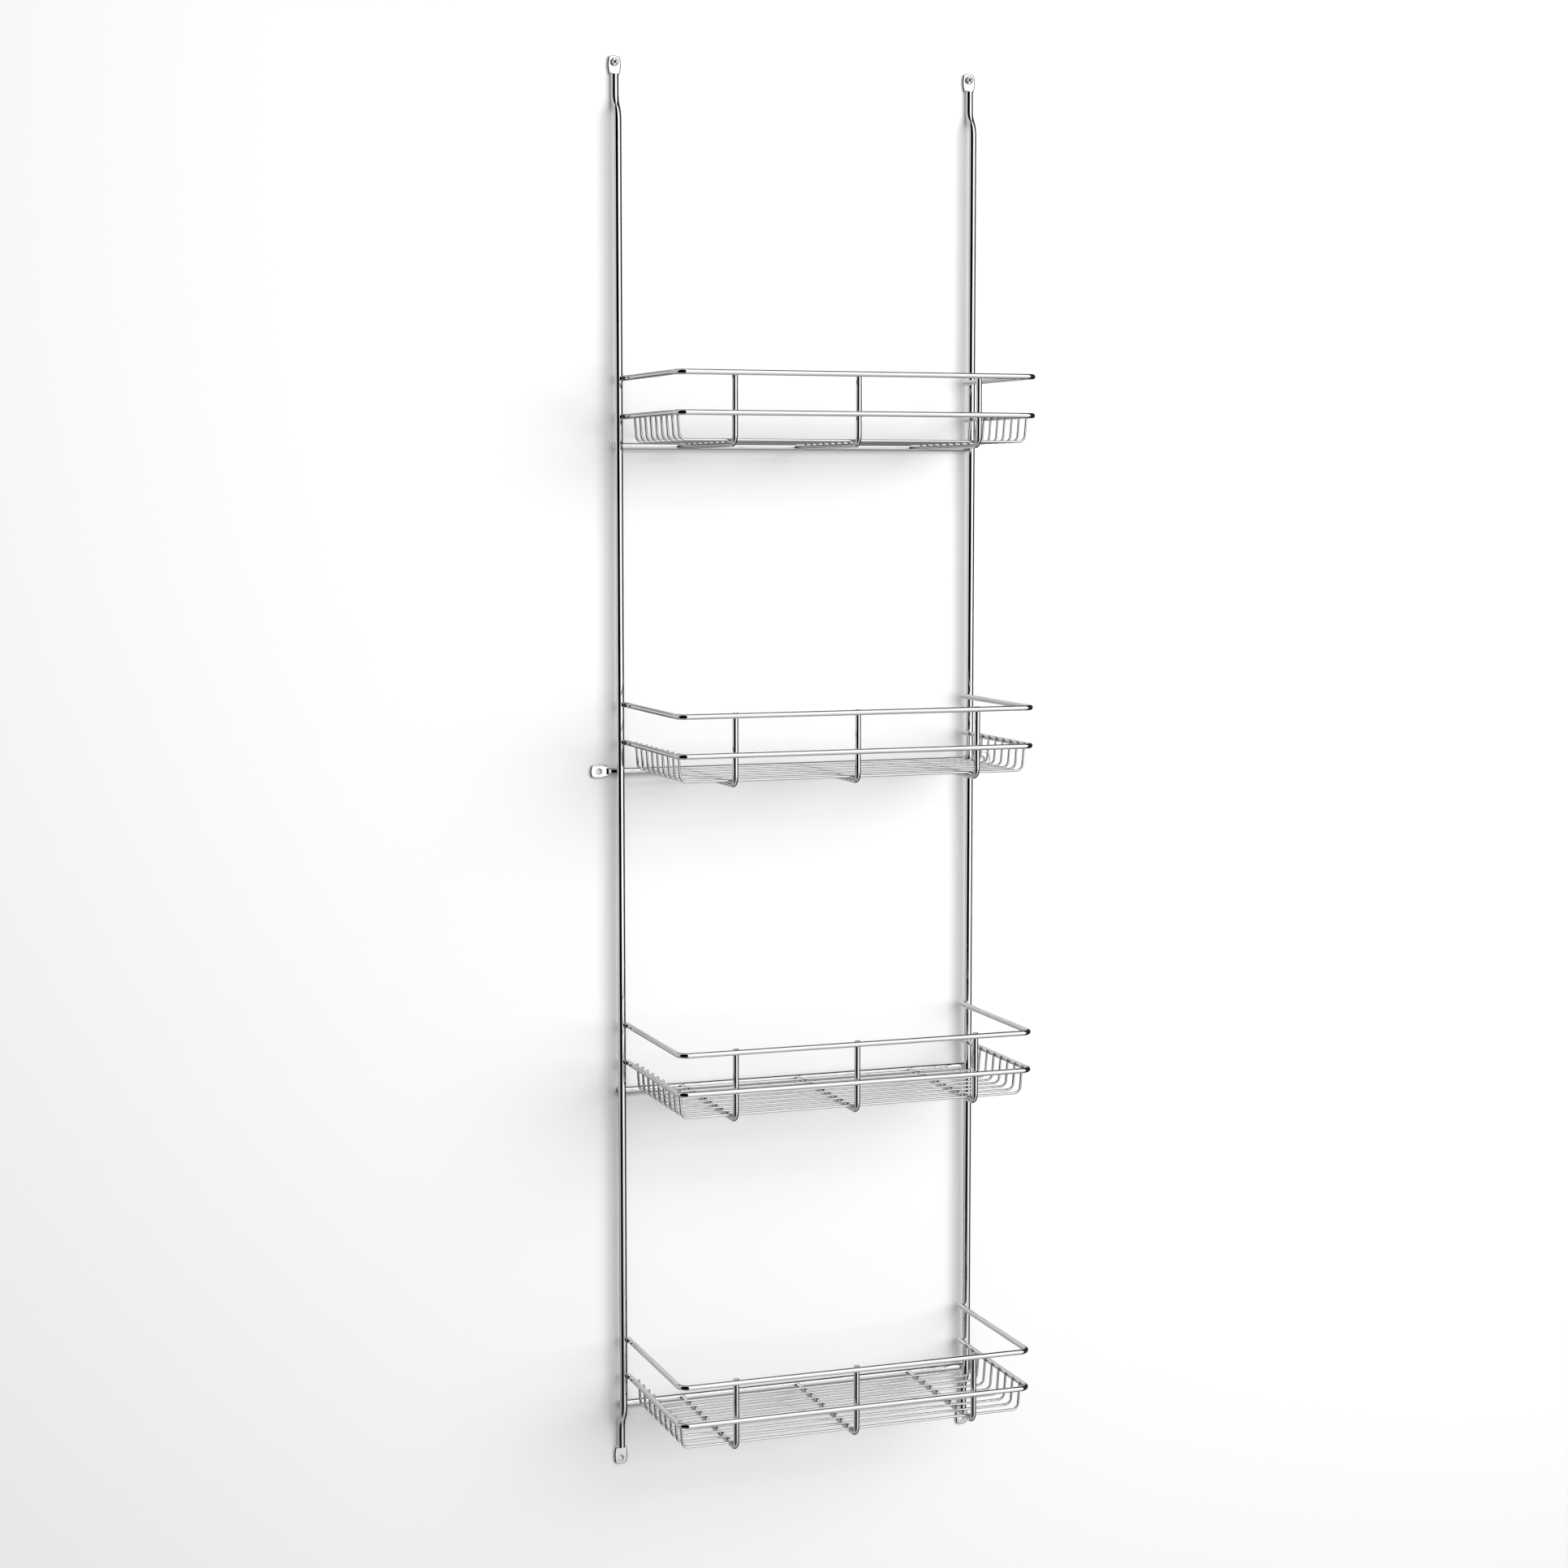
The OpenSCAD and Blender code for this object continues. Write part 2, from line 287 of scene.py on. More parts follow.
def lug(bm, place, hole_from_edge):
    """A pressed lug with a rounded rim and a screw hole. place maps (across, along, off the wall)."""
    outline = lug_outline()
    hole_v = LUG_LEN - hole_from_edge
    n = len(outline)

    def inset(d):
        """The outline moved in by d; the shoulder stays straight, where the rod runs on."""
        out = []
        for i, (x, v) in enumerate(outline):
            x0, v0 = outline[i - 1]
            x1, v1 = outline[(i + 1) % n]
            if v <= 0:
                out.append((x * (1 - d / lug_half_width(0)), v))
                continue
            tangent = Vector((x1 - x0, v1 - v0)).normalized()
            inwards = Vector((-tangent.y, tangent.x))
            out.append((x + inwards.x * d, v + inwards.y * d))
        return out

    def ring(shape, off):
        return [bm.verts.new(place(x, v, off)) for x, v in shape]

    def hole_shape(r):
        """As many points round the hole as the outline has, facing the outline's points."""
        out = []
        for x, v in outline:
            a = math.atan2(v - hole_v, x)
            out.append((r * math.cos(a), hole_v + r * math.sin(a)))
        return out

    rings = []
    for i in range(RIM_STEPS + 1):
        a = math.pi / 2 * i / RIM_STEPS
        rings.append(ring(inset(RIM_BACK * (1 - math.sin(a))), RIM_DEPTH * (1 - math.cos(a))))
    for i in range(RIM_STEPS + 1):
        a = math.pi / 2 * i / RIM_STEPS
        rings.append(ring(inset(RIM_FRONT * (1 - math.cos(a))), LUG_T - RIM_DEPTH * (1 - math.sin(a))))
    rings.append(ring(hole_shape(HOLE_R + HOLE_CHAMFER), LUG_T))
    rings.append(ring(hole_shape(HOLE_R), LUG_T - HOLE_CHAMFER))
    rings.append(ring(hole_shape(HOLE_R), HOLE_CHAMFER))
    rings.append(ring(hole_shape(HOLE_R + HOLE_CHAMFER), 0))
    rings.append(rings[0])
    for a, b in zip(rings, rings[1:]):
        for i in range(n):
            j = (i + 1) % n
            bm.faces.new((a[i], a[j], b[j], b[i]))


def weld(bm, centre, normal, r, half_height, seed, long_way=(0, 0, 1), stretch=1.0):
    """A spot weld's squeezed-out bead: an uneven lens in the contact plane, stretched along long_way."""
    normal = Vector(normal).normalized()
    across = normal.cross(Vector(long_way)).normalized()
    along = normal.cross(across) * stretch
    sides = 14
    rows = 5
    rings = []
    for i in range(1, rows):
        a = math.pi * i / rows - math.pi / 2
        row = []
        for j in range(sides):
            t = 2 * math.pi * j / sides
            sample = Vector((2 * math.cos(t), 2 * math.sin(t), seed * SEED_SPREAD))
            wobble = 1 + WELD_UNEVENNESS * noise.noise(sample)
            spoke = math.cos(t) * across + math.sin(t) * along
            row.append(bm.verts.new(
                centre + spoke * r * wobble * math.cos(a) ** 0.7 + normal * half_height * math.sin(a)))
        rings.append(row)
    for a, b in zip(rings, rings[1:]):
        for i in range(sides):
            j = (i + 1) % sides
            bm.faces.new((a[i], a[j], b[j], b[i]))
    for row, sign in ((rings[0], -1), (rings[-1], 1)):
        tip = bm.verts.new(centre + normal * half_height * sign)
        for i in range(sides):
            j = (i + 1) % sides
            bm.faces.new((row[j], row[i], tip) if sign < 0 else (row[i], row[j], tip))


def finish_mesh(bm):
    bmesh.ops.recalc_face_normals(bm, faces=bm.faces)
    return bm


# ---------------------------------------------------------------- materials

def plating(name, color, roughness, bump, streak_axis, streak_scale, haze):
    """Bright plating: draw lines along the rod, slow waviness, faint haze, pinpoint pits and smudges."""
    mat = bpy.data.materials.new(name)
    mat.use_nodes = True
    nodes = mat.node_tree.nodes
    links = mat.node_tree.links
    nodes.clear()
    out = nodes.new("ShaderNodeOutputMaterial")
    shader = nodes.new("ShaderNodeBsdfPrincipled")
    shader.inputs["Metallic"].default_value = 1.0
    links.new(shader.outputs["BSDF"], out.inputs["Surface"])
    place = nodes.new("ShaderNodeTexCoord")

    # Long draw lines left from drawing the wire, under the plating
    stretch = nodes.new("ShaderNodeMapping")
    scale = [streak_scale] * 3
    scale[streak_axis] = streak_scale / 60
    stretch.inputs["Scale"].default_value = scale
    links.new(place.outputs["Object"], stretch.inputs["Vector"])
    streaks = nodes.new("ShaderNodeTexNoise")
    streaks.inputs["Scale"].default_value = 1.0
    streaks.inputs["Detail"].default_value = 3.0
    links.new(stretch.outputs["Vector"], streaks.inputs["Vector"])

    # Slow unevenness of the bath's deposit
    cloud = nodes.new("ShaderNodeTexNoise")
    cloud.inputs["Scale"].default_value = 38.0
    cloud.inputs["Detail"].default_value = 4.0
    cloud.inputs["Roughness"].default_value = 0.55
    links.new(place.outputs["Object"], cloud.inputs["Vector"])

    # Pinpoint pits
    pits = nodes.new("ShaderNodeTexVoronoi")
    pits.inputs["Scale"].default_value = 190.0
    links.new(place.outputs["Object"], pits.inputs["Vector"])
    pit_mask = nodes.new("ShaderNodeMapRange")
    pit_mask.inputs["From Min"].default_value = 0.01
    pit_mask.inputs["From Max"].default_value = 0.04
    pit_mask.inputs["To Min"].default_value = 0.0
    pit_mask.inputs["To Max"].default_value = 1.0
    links.new(pits.outputs["Distance"], pit_mask.inputs["Value"])

    rough = nodes.new("ShaderNodeMapRange")
    rough.inputs["From Min"].default_value = 0.35
    rough.inputs["From Max"].default_value = 0.75
    rough.inputs["To Min"].default_value = roughness
    rough.inputs["To Max"].default_value = roughness + haze
    links.new(cloud.outputs["Fac"], rough.inputs["Value"])
    links.new(rough.outputs["Result"], shader.inputs["Roughness"])

    tint = nodes.new("ShaderNodeValToRGB")
    tint.color_ramp.elements[0].position = 0.3
    tint.color_ramp.elements[0].color = [c * 0.93 for c in color] + [1]
    tint.color_ramp.elements[1].position = 0.7
    tint.color_ramp.elements[1].color = list(color) + [1]
    links.new(cloud.outputs["Fac"], tint.inputs["Fac"])
    links.new(tint.outputs["Color"], shader.inputs["Base Color"])

    lines = nodes.new("ShaderNodeBump")
    lines.inputs["Strength"].default_value = bump
    lines.inputs["Distance"].default_value = 0.02 * MM
    links.new(streaks.outputs["Fac"], lines.inputs["Height"])
    dents = nodes.new("ShaderNodeBump")
    dents.inputs["Strength"].default_value = bump
    dents.inputs["Distance"].default_value = 0.015 * MM
    links.new(pit_mask.outputs["Result"], dents.inputs["Height"])
    links.new(lines.outputs["Normal"], dents.inputs["Normal"])
    links.new(dents.outputs["Normal"], shader.inputs["Normal"])
    return mat


CHROME = (0.90, 0.905, 0.915)
FRAME_CHROME = plating("chrome_frame_plating", CHROME, 0.025, 0.12, 2, 700, 0.03)
RAIL_CHROME = plating("chrome_rail_plating", CHROME, 0.025, 0.12, 0, 800, 0.03)
WIRE_CHROME = plating("chrome_wire_plating", (0.88, 0.885, 0.895), 0.03, 0.12, 0, 1200, 0.04)
WELD_CHROME = plating("chrome_over_weld", (0.16, 0.16, 0.17), 0.22, 1.0, 0, 2500, 0.12)
SCREW_PLATING = plating("zinc_screw_plating", (0.84, 0.85, 0.86), 0.10, 0.4, 2, 2200, 0.08)
# Near-black material for the screw's cross recess: painted shade for the deep recess, not a finish of the
# screw
RECESS_PAINTED_SHADE = plating("screw_recess_painted_shade", (0.015, 0.015, 0.016), 0.45, 0.8, 1, 2600, 0.25)


# ---------------------------------------------------------------- uprights

def upright(side_name, s):
    """Rod with set-back ends and a pressed screw lug at the top and bottom."""
    x = s * UPRIGHT_X
    end_y = -UPRIGHT_R
    bm = bmesh.new()
    reach = UPRIGHT_BEND_R * math.tan(SET_BACK_TURN / 2)
    bottom_shoulder = BOTTOM + LUG_LEN
    top_shoulder = TOP - LUG_LEN
    corners = [
        (x, end_y, bottom_shoulder),
        (x, end_y, BOTTOM + JOGGLE_START + reach),
        (x, UPRIGHT_Y, BOTTOM + JOGGLE_END - reach),
        (x, UPRIGHT_Y, TOP - JOGGLE_END + reach),
        (x, end_y, TOP - JOGGLE_START - reach),
        (x, end_y, top_shoulder),
    ]
    line = rounded_path(corners, UPRIGHT_BEND_R)
    first, last = tube(bm, line, UPRIGHT_R, (1, 0, 0), sides=32, chamfers=(0, 0))
    up = Vector((0, 0, 1))
    face_y = -LUG_T / 2
    for ring, axis in ((first, -up), (last, up)):
        for v in ring:
            v.co += axis * SHOULDER
        slope_end(ring, axis, -2 * UPRIGHT_R, face_y, SHOULDER)
    lug(bm, lambda a, v, off: Vector((x + a, -off, top_shoulder + v)), HOLE_FROM_EDGE)
    lug(bm, lambda a, v, off: Vector((x + a, -off, bottom_shoulder - v)), HOLE_FROM_EDGE)
    name = f"upright_{side_name}"
    new_piece(f"{name}_rod", finish_mesh(bm), name, [FRAME_CHROME])


for side_name, s in SIDES:
    upright(side_name, s)


# ---------------------------------------------------------------- baskets

def plain_back_bar(k):
    low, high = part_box(f"basket_{k}_back_bar")
    bm = bmesh.new()
    y = (low.y + high.y) / 2
    tube(bm, [Vector((low.x, y, BAR_Z[k])), Vector((high.x, y, BAR_Z[k]))], BAR_R, (0, 0, 1), sides=28)
    return bm


def lugged_back_bar(k):
    """The bar that runs past both uprights and is pressed into a lug at each end."""
    low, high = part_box(f"basket_{k}_back_bar")
    shoulder_x = high.x - LUG_LEN
    main_y = LEG_BACK_Y + BAR_R - WELD_SINK
    end_y = -BAR_R
    neck_from = UPRIGHT_X + NECK_GAP
    bend_half = BAR_BEND_R * math.tan(SET_BACK_TURN / 2)
    bm = bmesh.new()
    z = BAR_Z[k]
    corners = [
        (-shoulder_x, end_y, z),
        (-neck_from - NECK_RUN + bend_half, end_y, z),
        (-neck_from - bend_half, main_y, z),
        (neck_from + bend_half, main_y, z),
        (neck_from + NECK_RUN - bend_half, end_y, z),
        (shoulder_x, end_y, z),
    ]
    line = rounded_path(corners, BAR_BEND_R)
    first, last = tube(bm, line, BAR_R, (0, 0, 1), sides=28, chamfers=(0, 0))
    out = Vector((1, 0, 0))
    for ring, axis in ((first, -out), (last, out)):
        for v in ring:
            v.co += axis * SHOULDER
        slope_end(ring, axis, -2 * BAR_R, -LUG_T / 2, SHOULDER)
    for s in (-1, 1):
        lug(bm, lambda a, v, off, s=s: Vector((s * (shoulder_x + v), -off, z + a)), SIDE_HOLE_FROM_EDGE)
    return bm


def rail(z):
    """A rail bent round the front corners, with both legs welded to the uprights."""
    bm = bmesh.new()
    corners = [
        (-RAIL_X, LEG_BACK_Y, z),
        (-RAIL_X, FRONT_Y, z),
        (RAIL_X, FRONT_Y, z),
        (RAIL_X, LEG_BACK_Y, z),
    ]
    tube(bm, rounded_path(corners, RAIL_BEND_R, math.radians(3)), RAIL_R, (0, 0, 1), sides=28)
    return bm


SUPPORT_SPACING = 116 * MM
SUPPORT_X = [-SUPPORT_SPACING, 0.0, SUPPORT_SPACING]
SUPPORT_Y = FRONT_Y + RAIL_R + SUPPORT_R - WELD_SINK


def supports(k):
    """Three rods under the floor wires that turn up behind the front rails."""
    low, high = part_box(f"basket_{k}_supports")
    z = low.z + SUPPORT_R
    bm = bmesh.new()
    for x in SUPPORT_X:
        corners = [(x, high.y, z), (x, SUPPORT_Y, z), (x, SUPPORT_Y, high.z)]
        tube(bm, rounded_path(corners, SUPPORT_BEND_R), SUPPORT_R, (1, 0, 0), sides=24)
    return bm


def floor_wire(node):
    """A thin wire across the floor whose ends turn up and lean out to the lower rail."""
    low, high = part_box(node)
    y = (low.y + high.y) / 2
    z = low.z + WIRE_R
    tip_z = high.z - WIRE_R * math.sin(WIRE_LEAN)
    tip_x = high.x - WIRE_R * math.cos(WIRE_LEAN) + END_CHAMFER * math.sin(WIRE_LEAN)
    corner_x = tip_x - (tip_z - z) * math.tan(WIRE_LEAN)
    corners = [(-tip_x, y, tip_z), (-corner_x, y, z), (corner_x, y, z), (tip_x, y, tip_z)]
    bm = bmesh.new()
    line = rounded_path(corners, WIRE_BEND_R, math.radians(7))
    tube(bm, line, WIRE_R, (0, 1, 0), sides=16, chamfers=(WIRE_CHAMFER, WIRE_CHAMFER))
    return bm


def basket_welds(k):
    """Squeezed-out beads wherever two rods of a basket are resistance-welded."""
    bm = bmesh.new()
    seed = 100 * k
    bar_y = LEG_BACK_Y + BAR_R - WELD_SINK
    rails = [middle(f"basket_{k}_{which}_rail").z for which in ("upper", "lower")]
    inner_x = UPRIGHT_X - UPRIGHT_R
    for s in (-1, 1):
        weld(bm, Vector((s * UPRIGHT_X, bar_y - BAR_R, BAR_Z[k])), (0, 1, 0), *BAR_WELD, seed + s)
        for z in rails:
            weld(bm, Vector((s * inner_x, UPRIGHT_Y, z)), (1, 0, 0), *LEG_WELD, seed + s + z)
    for n, x in enumerate(SUPPORT_X):
        for z in rails:
            weld(bm, Vector((x, FRONT_Y + RAIL_R, z)), (0, 1, 0), *FRONT_WELD, seed + n + z)
        weld(bm, Vector((x, bar_y - BAR_R, BAR_Z[k])), (0, 1, 0), *BACK_WELD, seed + n)
    for i in WIRES:
        low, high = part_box(f"basket_{k}_floor_wire_{i}")
        y = (low.y + high.y) / 2
        wire_seed = seed + 10 * i
        for n, x in enumerate(SUPPORT_X):
            place = Vector((x, y, low.z - WIRE_WELD_SINK))
            weld(bm, place, (0, 0, 1), *WIRE_WELD, wire_seed + n, (0, 1, 0), WIRE_WELD_STRETCH)
        for s in (-1, 1):
            weld(bm, Vector((s * (RAIL_X - RAIL_R), y, rails[1])), (1, 0, 0), *TIP_WELD, wire_seed + s)
    return bm


for k in BASKETS:
    bar = lugged_back_bar(k) if k == 2 else plain_back_bar(k)
    node = f"basket_{k}_back_bar"
    new_piece(f"basket_{k}_bar_rod", finish_mesh(bar), node, [FRAME_CHROME])
    for which in ("upper", "lower"):
        node = f"basket_{k}_{which}_rail"
        new_piece(f"{node}_rod", finish_mesh(rail(middle(node).z)), node, [RAIL_CHROME])
    node = f"basket_{k}_supports"
    new_piece(f"{node}_rods", finish_mesh(supports(k)), node, [RAIL_CHROME])
    for i in WIRES:
        node = f"basket_{k}_floor_wire_{i}"
        new_piece(f"{node}_rod", finish_mesh(floor_wire(node)), node, [WIRE_CHROME])
    new_piece(f"basket_{k}_spot_welds", finish_mesh(basket_welds(k)), None, [WELD_CHROME])


# ---------------------------------------------------------------- screws

SCREW_HEAD_R = 3.8 * MM
SCREW_HEAD_H = 2.4 * MM
SCREW_EDGE_R = 1.5 * MM
SCREW_EDGE_CHAMFER = 0.15 * MM
SHANK_R = 1.95 * MM
NECK_R = SHANK_R + 0.25 * MM
ROOT_R = 1.45 * MM
THREAD_START = 0.4 * MM
THREAD_PITCH = 1.7 * MM
THREAD_ROWS = 150
THREAD_HALF_WIDTH = 0.28
POINT = 5 * MM
BLUNT_TIP = 0.12

# Cross recess, and how far its outer and inner corners draw in at its bottom
RECESS_WING = 0.58 * MM
RECESS_REACH = 2.5 * MM
RECESS_DEPTH = 1.7 * MM
RECESS_TAPER = (0.42, 0.42, 0.75)
RECESS_TURN = math.radians(40)


def screw(bm, x, z):
    """Pan head left open on top, and a threaded shank that stays inside the plain CAD shank."""
    head_y = -LUG_T
    tip_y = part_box("wall_screws")[1].y
    sides = 48

    def ring(r_of, y):
        row = []
        for i in range(sides):
            a = 2 * math.pi * i / sides
            r = r_of(a)
            row.append(bm.verts.new((x + r * math.cos(a), y, z + r * math.sin(a))))
        return row

    rings = []
    # Head, from the rim of its flat top outwards and down to the lug
    steps = 8
    top_y = head_y - SCREW_HEAD_H
    for i in range(steps + 1):
        a = math.pi / 2 * i / steps
        r = SCREW_HEAD_R - SCREW_EDGE_R * (1 - math.sin(a))
        rings.append(ring(lambda _, r=r: r, top_y + SCREW_EDGE_R * (1 - math.cos(a))))
    rings.append(ring(lambda _: SCREW_HEAD_R, head_y - SCREW_EDGE_CHAMFER))
    rings.append(ring(lambda _: SCREW_HEAD_R - SCREW_EDGE_CHAMFER, head_y))
    rings.append(ring(lambda _: NECK_R, head_y))
    rings.append(ring(lambda _: NECK_R, 0))
    # Thread: a ridge that winds along the shank, shrinking over the point
    for i in range(THREAD_ROWS + 1):
        y = THREAD_START + (tip_y - THREAD_START) * i / THREAD_ROWS
        left = min(1.0, (tip_y - y) / POINT)
        share = BLUNT_TIP + (1 - BLUNT_TIP) * left

        def radius(a, y=y, share=share):
            phase = (y / THREAD_PITCH - a / (2 * math.pi)) % 1.0
            ridge = max(0.0, 1 - abs(phase - 0.5) / THREAD_HALF_WIDTH)
            return (ROOT_R + (SHANK_R - ROOT_R) * ridge) * share

        rings.append(ring(radius, y))
    for a, b in zip(rings, rings[1:]):
        for i in range(sides):
            j = (i + 1) % sides
            bm.faces.new((a[i], b[i], b[j], a[j]))
    bm.faces.new(rings[-1])
    return rings[0], top_y


def screw_recess(bm, x, z, turn, rim, top_y):
    """Closes the head with a cross recess whose wings run in to a point; the recess walls and bottom carry
    painted shade.
    """
    centre = Vector((x, top_y, z))
    outline = []
    for q in range(4):
        a = turn + q * math.pi / 2
        along = Vector((math.cos(a), 0, math.sin(a)))
        across = Vector((-math.sin(a), 0, math.cos(a)))
        outline.append(centre + along * RECESS_REACH - across * RECESS_WING)
        outline.append(centre + along * RECESS_REACH + across * RECESS_WING)
        outline.append(centre + (along + across) * RECESS_WING)
    corners = len(outline)
    top = [bm.verts.new(p) for p in outline]
    low = []
    for i, p in enumerate(outline):
        q = centre + (p - centre) * RECESS_TAPER[i % 3]
        q.y = top_y + RECESS_DEPTH
        low.append(bm.verts.new(q))
    for i in range(corners):
        j = (i + 1) % corners
        # The recess walls and bottom take the second material, which is painted shade
        bm.faces.new((top[i], top[j], low[j], low[i])).material_index = 1
    bm.faces.new(list(reversed(low))).material_index = 1
    # The flat between the recess and the rim: triangles, from whichever of the two is behind
    n = len(rim)

    def angle_of(v):
        return math.atan2(v.co.z - z, v.co.x - x) % (2 * math.pi)

    loop = sorted(top, key=angle_of)
    i = 0
    j = 0
    while i < n or j < corners:
        a = rim[i % n]
        b = loop[j % corners]
        next_a = 2 * math.pi * (i + 1) / n
        next_b = angle_of(loop[(j + 1) % corners]) + (2 * math.pi if j + 1 >= corners else 0)
        if i < n and (j >= corners or next_a <= next_b):
            bm.faces.new((a, rim[(i + 1) % n], b))
            i += 1
        else:
            bm.faces.new((a, loop[(j + 1) % corners], b))
            j += 1


def wall_screws():
    bm = bmesh.new()
    z = middle("wall_screws").z
    for _, s in SIDES:
        x = s * UPRIGHT_X
        rim, top_y = screw(bm, x, z)
        screw_recess(bm, x, z, s * RECESS_TURN, rim, top_y)
    # The second material is the painted shade in the cross recess
    materials = [SCREW_PLATING, RECESS_PAINTED_SHADE]
    new_piece("top_wall_screws", finish_mesh(bm), "wall_screws", materials)


wall_screws()


# ---------------------------------------------------------------- stage, lights and camera

def stage_material(name, color, roughness, glow=0.0, one_sided=False):
    mat = bpy.data.materials.new(name)
    mat.use_nodes = True
    nodes = mat.node_tree.nodes
    links = mat.node_tree.links
    shader = nodes["Principled BSDF"]
    shader.inputs["Base Color"].default_value = (*color, 1)
    shader.inputs["Roughness"].default_value = roughness
    shader.inputs["Specular IOR Level"].default_value = 0.0
    shader.inputs["Emission Color"].default_value = (*color, 1)
    shader.inputs["Emission Strength"].default_value = glow
    if one_sided:
        out = nodes["Material Output"]
        clear = nodes.new("ShaderNodeBsdfTransparent")
        side = nodes.new("ShaderNodeNewGeometry")
        mix = nodes.new("ShaderNodeMixShader")
        links.new(side.outputs["Backfacing"], mix.inputs["Fac"])
        links.new(shader.outputs["BSDF"], mix.inputs[1])
        links.new(clear.outputs["BSDF"], mix.inputs[2])
        links.new(mix.outputs["Shader"], out.inputs["Surface"])
    return mat


def sheet(name, corners, material):
    mesh = bpy.data.meshes.new(name)
    mesh.from_pydata(corners, [], [(0, 1, 2, 3)])
    mesh.materials.append(material)
    made = bpy.data.objects.new(name, mesh)
    bpy.context.scene.collection.objects.link(made)
    return made


FLOOR_Z = -0.9
FLOOR_HALF = 12.0
WALL_HALF = 4.0
WALL_TOP = 3.6
WALL_Y = 0.4 * MM
wall = sheet("wall", [
    (-WALL_HALF, WALL_Y, FLOOR_Z), (WALL_HALF, WALL_Y, FLOOR_Z),
    (WALL_HALF, WALL_Y, WALL_TOP), (-WALL_HALF, WALL_Y, WALL_TOP)],
    stage_material("wall_paint", (0.86, 0.86, 0.855), 0.9, one_sided=True))
wall.visible_glossy = False
floor = sheet("floor", [
    (-FLOOR_HALF, -FLOOR_HALF, FLOOR_Z), (FLOOR_HALF, -FLOOR_HALF, FLOOR_Z),
    (FLOOR_HALF, FLOOR_HALF, FLOOR_Z), (-FLOOR_HALF, FLOOR_HALF, FLOOR_Z)],
    stage_material("floor_paint", (0.80, 0.80, 0.80), 0.8, glow=0.6))
floor.visible_glossy = False
floor.visible_diffuse = False


def softbox(name, location, target, size_x, size_y, power):
    data = bpy.data.lights.new(name, "AREA")
    data.shape = "RECTANGLE"
    data.size = size_x
    data.size_y = size_y
    data.energy = power
    made = bpy.data.objects.new(name, data)
    bpy.context.scene.collection.objects.link(made)
    made.location = location
    made.rotation_euler = (Vector(target) - Vector(location)).to_track_quat("-Z", "Y").to_euler()
    made.visible_glossy = False
    made.visible_camera = False


TARGET = (0, 0, 0.65)
softbox("key_softbox", (0.95, -2.4, 1.25), TARGET, 2.8, 1.9, 84)
softbox("fill_softbox", (-1.6, -3.4, 2.6), TARGET, 2.5, 2.5, 8)


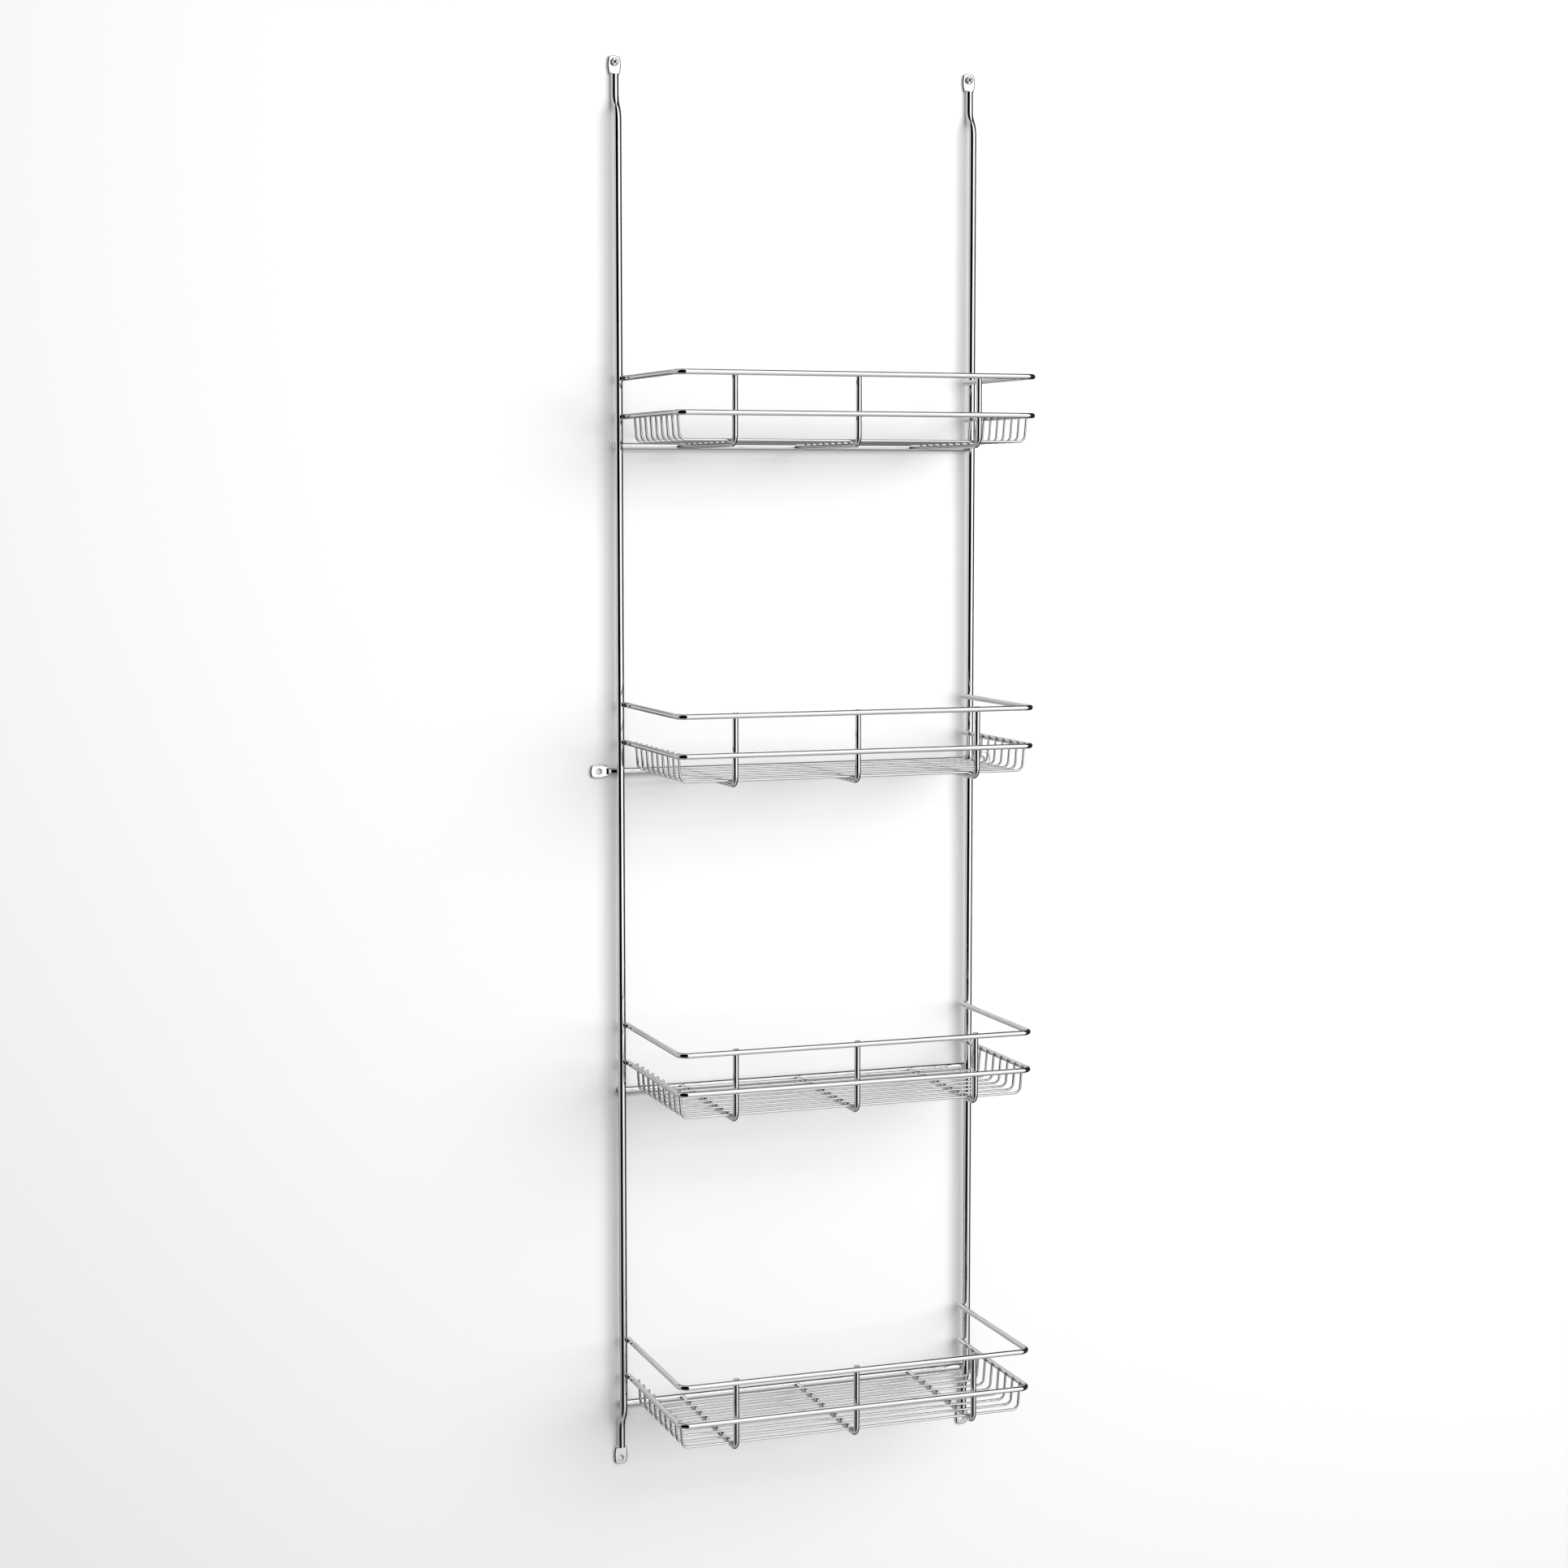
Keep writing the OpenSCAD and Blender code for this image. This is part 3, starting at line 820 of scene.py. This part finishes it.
def studio_world():
    """A pale backdrop for the camera, and a studio of soft panels and dark flags for reflections."""
    world = bpy.data.worlds.new("studio")
    bpy.context.scene.world = world
    world.use_nodes = True
    nodes = world.node_tree.nodes
    links = world.node_tree.links
    nodes.clear()
    out = nodes.new("ShaderNodeOutputWorld")
    pale = nodes.new("ShaderNodeBackground")
    pale.inputs["Color"].default_value = (0.93, 0.93, 0.93, 1)
    pale.inputs["Strength"].default_value = 1.0
    ambient = nodes.new("ShaderNodeBackground")
    ambient.inputs["Color"].default_value = (1.0, 1.0, 1.0, 1)
    ambient.inputs["Strength"].default_value = 0.32
    studio = nodes.new("ShaderNodeBackground")
    studio.inputs["Strength"].default_value = 1.2
    path = nodes.new("ShaderNodeLightPath")
    lit = nodes.new("ShaderNodeMixShader")
    links.new(path.outputs["Is Diffuse Ray"], lit.inputs["Fac"])
    links.new(studio.outputs["Background"], lit.inputs[1])
    links.new(ambient.outputs["Background"], lit.inputs[2])
    mix = nodes.new("ShaderNodeMixShader")
    links.new(path.outputs["Is Camera Ray"], mix.inputs["Fac"])
    links.new(lit.outputs["Shader"], mix.inputs[1])
    links.new(pale.outputs["Background"], mix.inputs[2])
    links.new(mix.outputs["Shader"], out.inputs["Surface"])

    way = nodes.new("ShaderNodeTexCoord")
    parts = nodes.new("ShaderNodeSeparateXYZ")
    links.new(way.outputs["Generated"], parts.inputs["Vector"])

    def maths(operation, a, b=None):
        node = nodes.new("ShaderNodeMath")
        node.operation = operation
        for socket, value in zip(node.inputs, (a, b)):
            if isinstance(value, (int, float)):
                socket.default_value = value
            elif value is not None:
                links.new(value, socket)
        return node.outputs[0]

    # Azimuth round the rack: 0 straight out in front, growing to the right, as a share of a turn
    back = maths("MULTIPLY", parts.outputs["Y"], -1.0)
    azimuth = maths("ARCTAN2", parts.outputs["X"], back)
    share = maths("ADD", maths("DIVIDE", azimuth, 2 * math.pi), 0.5)

    def ramp(fac, stops):
        node = nodes.new("ShaderNodeValToRGB")
        node.color_ramp.interpolation = "LINEAR"
        elements = node.color_ramp.elements
        while len(elements) > 1:
            elements.remove(elements[0])
        elements[0].position = stops[0][0]
        elements[0].color = (stops[0][1],) * 3 + (1,)
        for position, value in stops[1:]:
            made = elements.new(position)
            made.color = (value,) * 3 + (1,)
        links.new(fac, node.inputs["Fac"])
        return node.outputs["Color"]

    def turn(degrees):
        return (degrees + 180) / 360

    def over(low, high, share_of_high):
        node = nodes.new("ShaderNodeMix")
        node.data_type = "RGBA"
        links.new(share_of_high, node.inputs["Factor"])
        links.new(low, node.inputs["A"])
        links.new(high, node.inputs["B"])
        return node.outputs["Result"]

    def lift(degrees):
        return (math.sin(math.radians(degrees)) + 1) / 2

    edge = 1.5
    level = ramp(share, [
        (turn(-180), 0.45), (turn(-83 - edge), 0.52), (turn(-83 + edge), 0.0), (turn(-4 - edge), 0.0),
        (turn(-4 + edge), 1.0), (turn(55 - edge), 1.0), (turn(55 + edge), 0.02), (turn(180), 0.02)])

    # In front: dark floor, panels that fade below eye level, pale ceiling
    height = maths("ADD", maths("MULTIPLY", parts.outputs["Z"], 0.5), 0.5)
    ends = ramp(height, [
        (lift(-90), 0.38), (lift(-68), 0.3), (lift(-50), 0.02), (lift(40), 0.02), (lift(70), 0.28),
        (lift(90), 0.5)])
    band = ramp(height, [
        (lift(-80), 0.0), (lift(-62), 0.46), (lift(-20), 0.58), (lift(-8), 1.0), (lift(66), 1.0),
        (lift(78), 0.0)])
    ahead = over(ends, level, band)

    # Behind, where rods that run to the wall look: a pale wall crossed by dark bands
    behind = ramp(height, [
        (lift(-60), 0.05), (lift(-28), 0.42), (lift(-19), 0.42), (lift(-16), 0.05), (lift(-12), 0.05),
        (lift(-9), 0.45), (lift(9), 0.55), (lift(12), 0.08), (lift(15), 0.08), (lift(19), 0.7),
        (lift(30), 0.55), (lift(36), 0.05), (lift(70), 0.05), (lift(80), 0.4)])
    back_mask = ramp(share, [
        (turn(-180), 1.0), (turn(-148), 1.0), (turn(-142), 0.0), (turn(148), 0.0), (turn(154), 1.0)])
    blend = over(ahead, behind, back_mask)
    links.new(blend, studio.inputs["Color"])


studio_world()

CAMERA_YAW = math.radians(19.796)
CAMERA_PITCH = math.radians(-4.900)
CAMERA_PLACE = (-0.9419, -2.5876, 0.9105)
CAMERA_LENS = 66.84
CAMERA_SHIFT_Y = -0.0259
SENSOR_MM = 36

data = bpy.data.cameras.new("camera")
data.sensor_width = SENSOR_MM
data.lens = CAMERA_LENS
data.shift_y = CAMERA_SHIFT_Y
camera = bpy.data.objects.new("camera", data)
bpy.context.scene.collection.objects.link(camera)
camera.location = CAMERA_PLACE
camera.rotation_euler = (math.pi / 2 + CAMERA_PITCH, 0, -CAMERA_YAW)
bpy.context.scene.camera = camera
bpy.context.scene.view_settings.view_transform = "Standard"
